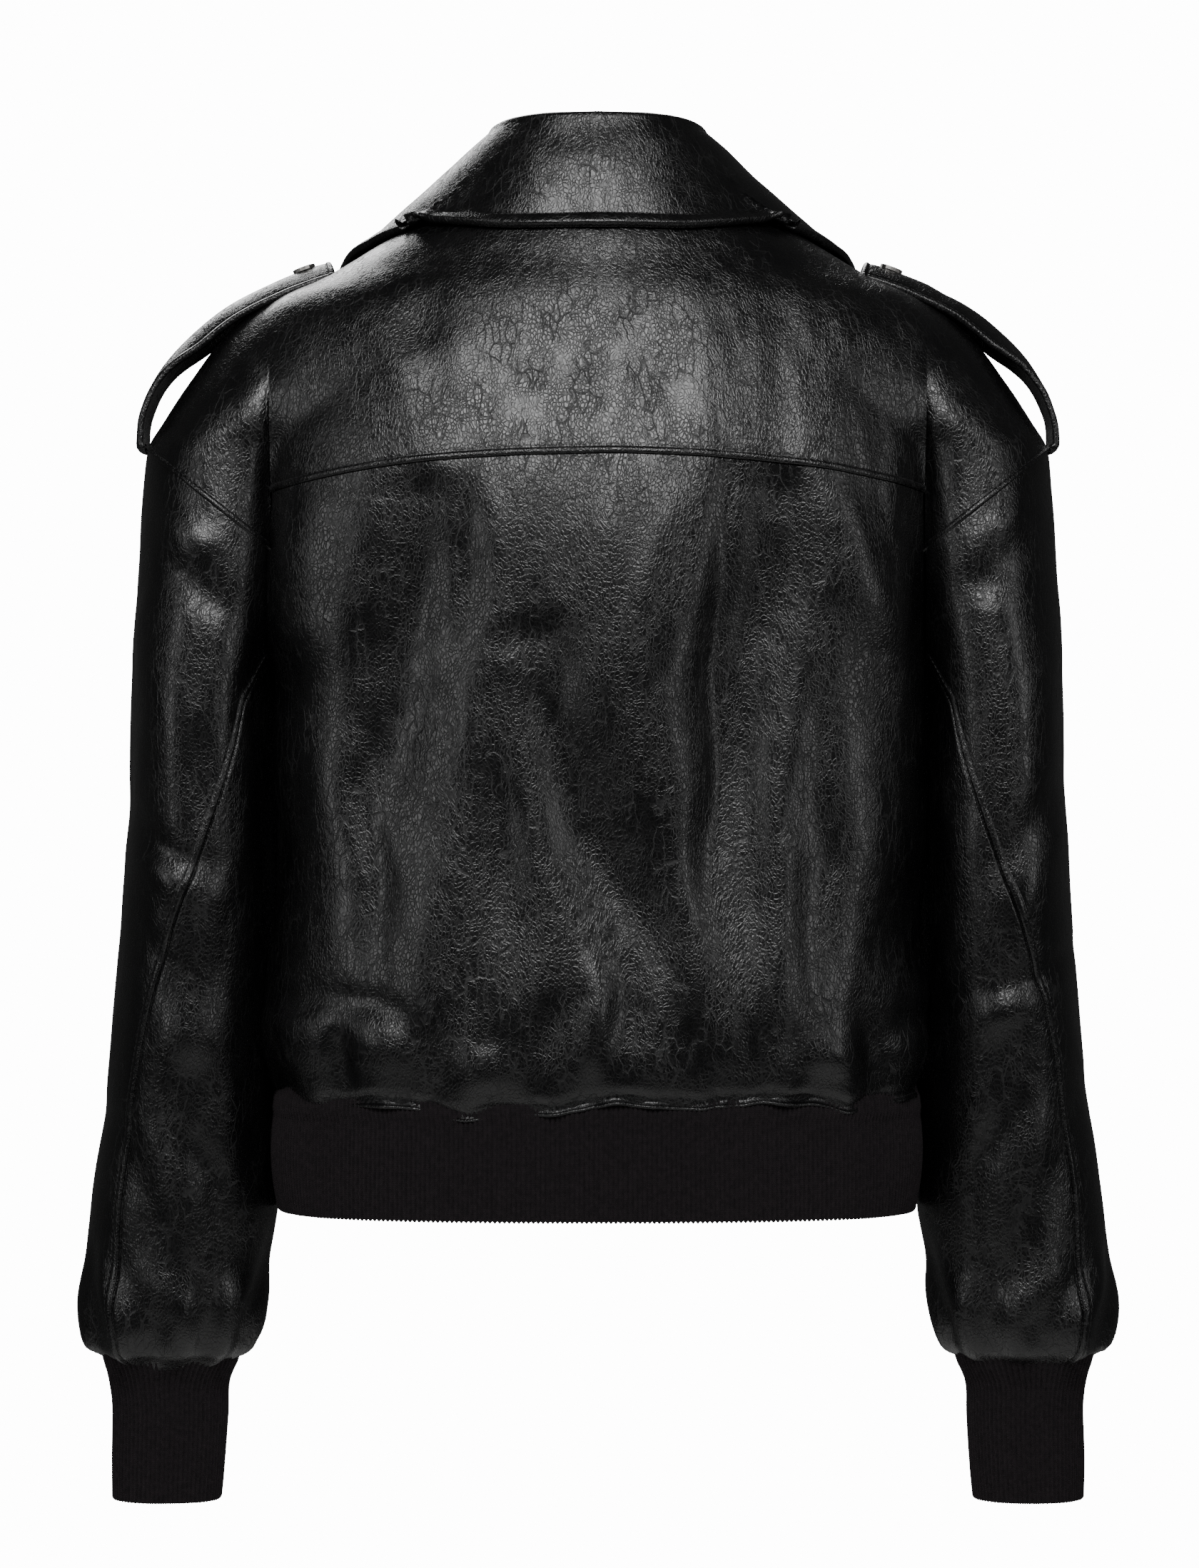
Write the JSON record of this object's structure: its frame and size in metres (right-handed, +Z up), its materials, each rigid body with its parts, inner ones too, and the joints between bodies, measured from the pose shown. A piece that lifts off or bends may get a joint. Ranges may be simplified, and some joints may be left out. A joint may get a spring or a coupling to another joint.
{
  "type": "leather riding jacket",
  "caption": "Cropped leather riding jacket with a wide folded collar, yoked back, epaulettes, straight zip, flap pockets, swinging sleeves, and ribbed waistband and cuffs.",
  "frame": {"origin": "the hanging loop, at the centre back of the neck seam", "axes": "+Z up as worn, -Y towards the front, +X towards the wearer's left"},
  "size_m": [0.5766, 0.2575, 0.7692],
  "materials": {
    "leather": "black grained leather, soft satin sheen",
    "lining": "smooth black woven lining",
    "rib_knit": "matt black ribbed knit",
    "zip_tape": "matt black woven tape",
    "metal": "dark nickel, satin"
  },
  "bodies": {
    "shell": {"back_yoke": "leather", "back_panel": "leather", "lining_back": "lining", "collar_fall": "leather", "collar_stand": "leather", "hanging_loop": "leather", "neck_label": "lining", "waistband_rib": "rib_knit", "zip_box": "metal", "front_panel_left": "leather", "front_panel_right": "leather", "lining_front_left": "lining", "lining_front_right": "lining", "front_facing_left": "leather", "front_facing_right": "leather", "lapel_left": "leather", "lapel_right": "leather", "waistband_tab_left": "leather", "waistband_tab_right": "leather", "zip_tape_left": "zip_tape", "zip_tape_right": "zip_tape", "zip_teeth_left": "metal", "zip_teeth_right": "metal", "zip_stop_left": "metal", "zip_stop_right": "metal", "pocket_welt_left": "leather", "pocket_welt_right": "leather", "pocket_bag_left": "lining", "pocket_bag_right": "lining", "pocket_snap_stud_left": "metal", "pocket_snap_stud_right": "metal", "epaulette_snap_stud_left": "metal", "epaulette_snap_stud_right": "metal"},
    "sleeve_left": {"sleeve_top_left": "leather", "sleeve_under_left": "leather", "sleeve_lining_left": "lining", "cuff_rib_left": "rib_knit"},
    "epaulette_left": {"epaulette_left": "leather", "epaulette_snap_cap_left": "metal"},
    "pocket_flap_left": {"pocket_flap_left": "leather", "pocket_snap_cap_left": "metal"},
    "sleeve_right": {"sleeve_top_right": "leather", "sleeve_under_right": "leather", "sleeve_lining_right": "lining", "cuff_rib_right": "rib_knit"},
    "epaulette_right": {"epaulette_right": "leather", "epaulette_snap_cap_right": "metal"},
    "pocket_flap_right": {"pocket_flap_right": "leather", "pocket_snap_cap_right": "metal"},
    "zip_slider": {"zip_slider": "metal", "puller_pin": "metal"},
    "zip_puller": {"zip_puller": "metal"}
  },
  "joints": [
    {"name": "sleeve_swing_left", "type": "hinge", "parent": "shell", "child": "sleeve_left", "pos_m": [0.252, -0.054, -0.1503], "axis": [0, -1, 0], "range_deg": [0, 30]},
    {"name": "sleeve_swing_right", "type": "hinge", "parent": "shell", "child": "sleeve_right", "pos_m": [-0.252, -0.054, -0.1503], "axis": [0, 1, 0], "range_deg": [0, 30]},
    {"name": "epaulette_lift_left", "type": "hinge", "parent": "shell", "child": "epaulette_left", "pos_m": [0.2562, -0.054, -0.1455], "axis": [0, 1, 0], "range_deg": [0, 120]},
    {"name": "epaulette_lift_right", "type": "hinge", "parent": "shell", "child": "epaulette_right", "pos_m": [-0.2562, -0.054, -0.1455], "axis": [0, -1, 0], "range_deg": [0, 120]},
    {"name": "pocket_flap_lift_left", "type": "hinge", "parent": "shell", "child": "pocket_flap_left", "pos_m": [0.0807, -0.1806, -0.392], "axis": [-0.9783, -0.2071, 0], "range_deg": [0, 100]},
    {"name": "pocket_flap_lift_right", "type": "hinge", "parent": "shell", "child": "pocket_flap_right", "pos_m": [-0.0807, -0.1806, -0.392], "axis": [-0.9783, 0.2071, 0], "range_deg": [0, 100]},
    {"name": "zip_slide", "type": "slide", "parent": "shell", "child": "zip_slider", "axis": [0, 0, 1], "range_m": [-0.31, 0]},
    {"name": "puller_swing", "type": "hinge", "parent": "zip_slider", "child": "zip_puller", "pos_m": [0, -0.1896, -0.241], "axis": [-1, 0, 0], "range_deg": [0, 150]}
  ]
}
